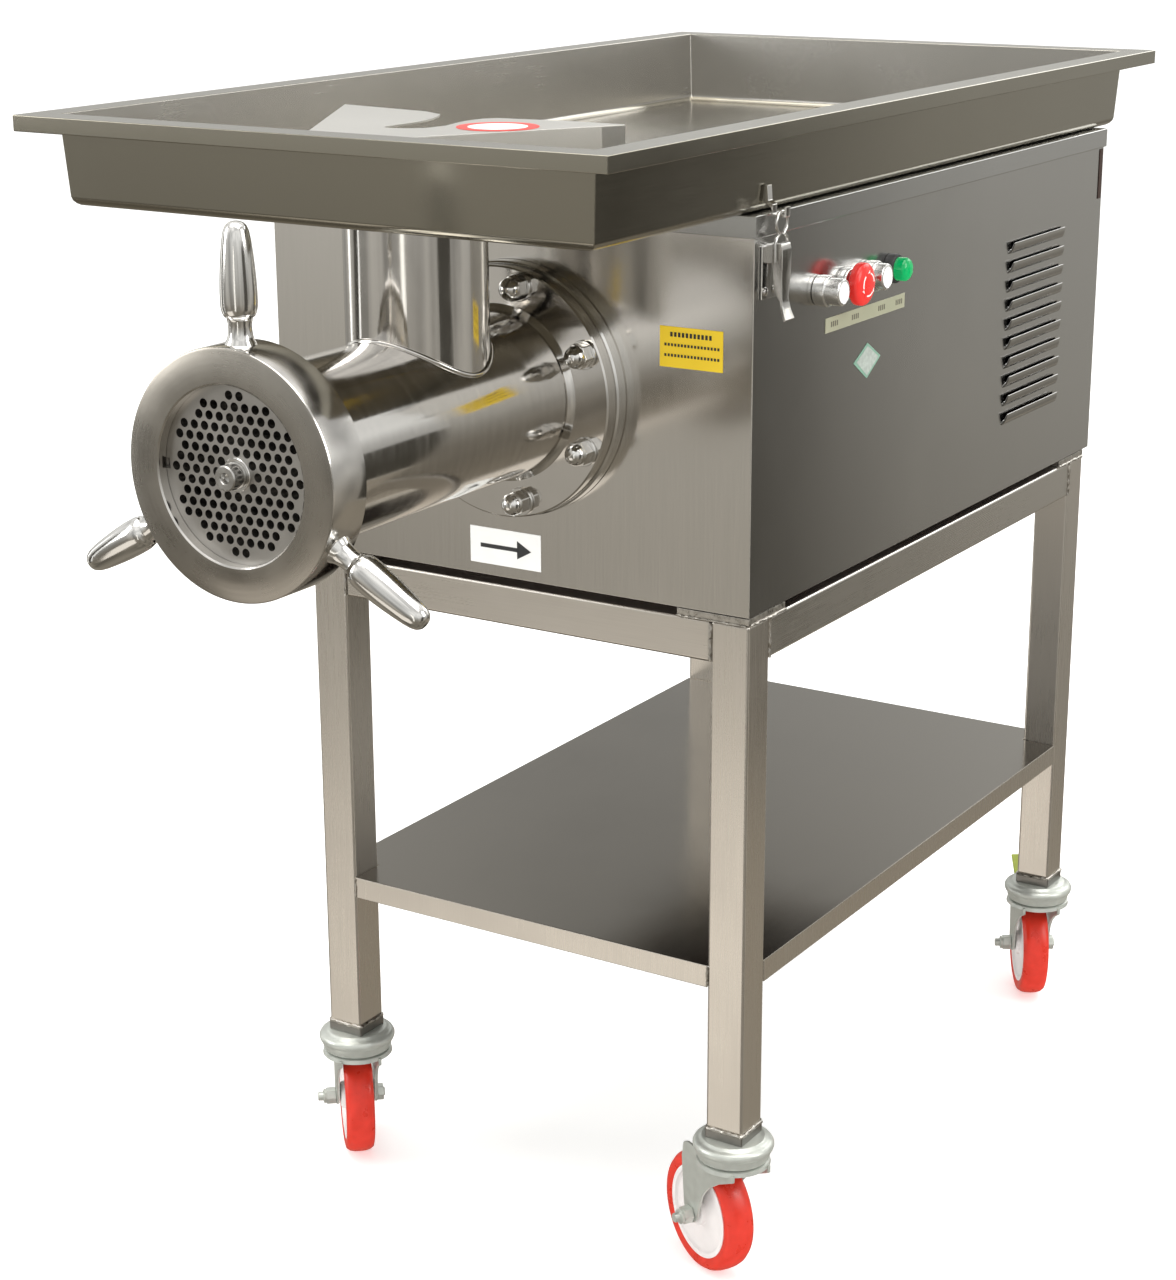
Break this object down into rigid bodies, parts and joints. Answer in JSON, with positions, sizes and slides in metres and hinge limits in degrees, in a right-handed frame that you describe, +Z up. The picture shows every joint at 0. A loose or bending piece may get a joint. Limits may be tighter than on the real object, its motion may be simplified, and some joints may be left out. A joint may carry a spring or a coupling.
{
  "type": "electric meat grinder",
  "caption": "Floor-standing electric meat grinder in stainless steel, with a mincing head, a feed tray and a castor frame.",
  "frame": {"origin": "centre of the bounding box in plan, at the floor", "axes": "+X towards the control side, -Y towards the mincing head, +Z up, castors on the floor at z = 0"},
  "size_m": [0.618, 1.309, 1.144],
  "materials": {
    "frame_steel": "satin",
    "sheet_steel": "satin",
    "polished_steel": "polished",
    "machined_steel": "machined",
    "gear_steel": "oiled",
    "case_iron": "as cast",
    "motor_paint": "satin",
    "zinc_plate": "zinc plated",
    "red_tread": "satin",
    "hub_plastic": "matte",
    "pedal_plastic": "gloss",
    "black_plastic": "matte",
    "red_cap": "gloss",
    "green_lens": "gloss"
  },
  "bodies": {
    "machine": {"barrel": "machined_steel", "cable_gland": "black_plastic", "cap_nut_1": "polished_steel", "cap_nut_2": "polished_steel", "cap_nut_3": "polished_steel", "cap_nut_4": "polished_steel", "cap_nut_5": "polished_steel", "cap_nut_6": "polished_steel", "cap_nut_7": "polished_steel", "casing": "sheet_steel", "castor_head_front_left": "zinc_plate", "castor_head_front_right": "zinc_plate", "castor_head_rear_left": "zinc_plate", "castor_head_rear_right": "zinc_plate", "floor_plate": "sheet_steel", "gear_case": "case_iron", "gear_cover": "case_iron", "latch_base": "polished_steel", "leg_front_left": "frame_steel", "leg_front_right": "frame_steel", "leg_rear_left": "frame_steel", "leg_rear_right": "frame_steel", "lid": "sheet_steel", "motor": "motor_paint", "mounting_ring": "polished_steel", "rail_front": "frame_steel", "rail_left": "frame_steel", "rail_rear": "frame_steel", "rail_right": "frame_steel", "reverse_bezel": "polished_steel", "run_lamp": "green_lens", "shelf": "sheet_steel", "start_bezel": "polished_steel", "stop_bezel": "polished_steel", "tray": "sheet_steel"},
    "screw": {"auger": "machined_steel", "knife": "polished_steel", "drive_gear": "gear_steel"},
    "pinion": {"pinion": "gear_steel"},
    "plate": {"mincing_plate": "machined_steel"},
    "ring_nut": {"ring_nut": "polished_steel", "handle_top": "polished_steel", "handle_right": "polished_steel", "handle_left": "polished_steel"},
    "guard": {"guard": "sheet_steel"},
    "latch_lever": {"latch_lever": "polished_steel"},
    "latch_hook": {"latch_hook": "polished_steel"},
    "start_button": {"start_button": "polished_steel"},
    "reverse_button": {"reverse_button": "polished_steel"},
    "stop_button": {"stop_mushroom": "red_cap"},
    "fork_front_right": {"castor_fork_front_right": "zinc_plate"},
    "wheel_front_right": {"wheel_front_right": "red_tread"},
    "fork_front_left": {"castor_fork_front_left": "zinc_plate"},
    "wheel_front_left": {"wheel_front_left": "red_tread"},
    "fork_rear_right": {"castor_fork_rear_right": "zinc_plate"},
    "wheel_rear_right": {"wheel_rear_right": "red_tread"},
    "pedal_rear_right": {"brake_pedal_rear_right": "pedal_plastic"},
    "fork_rear_left": {"castor_fork_rear_left": "zinc_plate"},
    "wheel_rear_left": {"wheel_rear_left": "red_tread"},
    "pedal_rear_left": {"brake_pedal_rear_left": "pedal_plastic"}
  },
  "joints": [
    {"name": "screw_spin", "type": "hinge", "parent": "machine", "child": "screw", "pos_m": [0.031, -0.4315, 0.885], "axis": [0, 1, 0], "continuous": true},
    {"name": "pinion_spin", "type": "hinge", "parent": "machine", "child": "pinion", "pos_m": [-0.049, 0.0085, 0.825], "axis": [0, 1, 0], "continuous": true},
    {"name": "plate_draw", "type": "slide", "parent": "machine", "child": "plate", "axis": [0, -1, 0], "range_m": [0, 0.004]},
    {"name": "ring_nut_turn", "type": "hinge", "parent": "plate", "child": "ring_nut", "pos_m": [0.031, -0.6265, 0.885], "axis": [0, -1, 0], "range_deg": [0, 360]},
    {"name": "guard_lift", "type": "slide", "parent": "machine", "child": "guard", "axis": [0, 0, 1], "range_m": [0, 0.12]},
    {"name": "latch_lever_swing", "type": "hinge", "parent": "machine", "child": "latch_lever", "pos_m": [0.294, -0.2065, 1.032], "axis": [0, -1, 0], "range_deg": [0, 80]},
    {"name": "latch_hook_swing", "type": "hinge", "parent": "latch_lever", "child": "latch_hook", "pos_m": [0.294, -0.2065, 1.022], "axis": [0, -1, 0], "range_deg": [-80, 5]},
    {"name": "start_press", "type": "slide", "parent": "machine", "child": "start_button", "axis": [-1, 0, 0], "range_m": [0, 0.005], "stiffness_N_per_m": 300},
    {"name": "reverse_press", "type": "slide", "parent": "machine", "child": "reverse_button", "axis": [-1, 0, 0], "range_m": [0, 0.005], "stiffness_N_per_m": 300},
    {"name": "stop_press", "type": "slide", "parent": "machine", "child": "stop_button", "axis": [-1, 0, 0], "range_m": [0, 0.004], "stiffness_N_per_m": 600},
    {"name": "swivel_front_right", "type": "hinge", "parent": "machine", "child": "fork_front_right", "pos_m": [0.261, -0.2115, 0.142], "axis": [0, 0, 1], "continuous": true},
    {"name": "roll_front_right", "type": "hinge", "parent": "fork_front_right", "child": "wheel_front_right", "pos_m": [0.22392, -0.19178, 0.0625], "axis": [-0.4695, -0.8829, 0], "continuous": true},
    {"name": "swivel_front_left", "type": "hinge", "parent": "machine", "child": "fork_front_left", "pos_m": [-0.199, -0.2115, 0.142], "axis": [0, 0, 1], "continuous": true},
    {"name": "roll_front_left", "type": "hinge", "parent": "fork_front_left", "child": "wheel_front_left", "pos_m": [-0.2271, -0.18029, 0.0625], "axis": [-0.7431, -0.6691, 0], "continuous": true},
    {"name": "swivel_rear_right", "type": "hinge", "parent": "machine", "child": "fork_rear_right", "pos_m": [0.261, 0.5485, 0.142], "axis": [0, 0, 1], "continuous": true},
    {"name": "roll_rear_right", "type": "hinge", "parent": "fork_rear_right", "child": "wheel_rear_right", "pos_m": [0.23874, 0.58412, 0.0625], "axis": [-0.848, -0.5299, 0], "continuous": true},
    {"name": "brake_rear_right", "type": "hinge", "parent": "fork_rear_right", "child": "pedal_rear_right", "pos_m": [0.23238, 0.5943, 0.131], "axis": [-0.848, -0.5299, 0], "range_deg": [0, 14]},
    {"name": "swivel_rear_left", "type": "hinge", "parent": "machine", "child": "fork_rear_left", "pos_m": [-0.199, 0.5485, 0.142], "axis": [0, 0, 1], "continuous": true},
    {"name": "roll_rear_left", "type": "hinge", "parent": "fork_rear_left", "child": "wheel_rear_left", "pos_m": [-0.23117, 0.5755, 0.0625], "axis": [-0.6428, -0.766, 0], "continuous": true},
    {"name": "brake_rear_left", "type": "hinge", "parent": "fork_rear_left", "child": "pedal_rear_left", "pos_m": [-0.24037, 0.58321, 0.131], "axis": [-0.6428, -0.766, 0], "range_deg": [0, 14]}
  ],
  "couplings": [
    {"joint": "pinion_spin", "follows": "screw_spin", "ratio": -4},
    {"joint": "plate_draw", "follows": "ring_nut_turn", "m_per_rad": 0.00063662},
    {"joint": "latch_hook_swing", "follows": "latch_lever_swing", "ratio": -0.85}
  ]
}
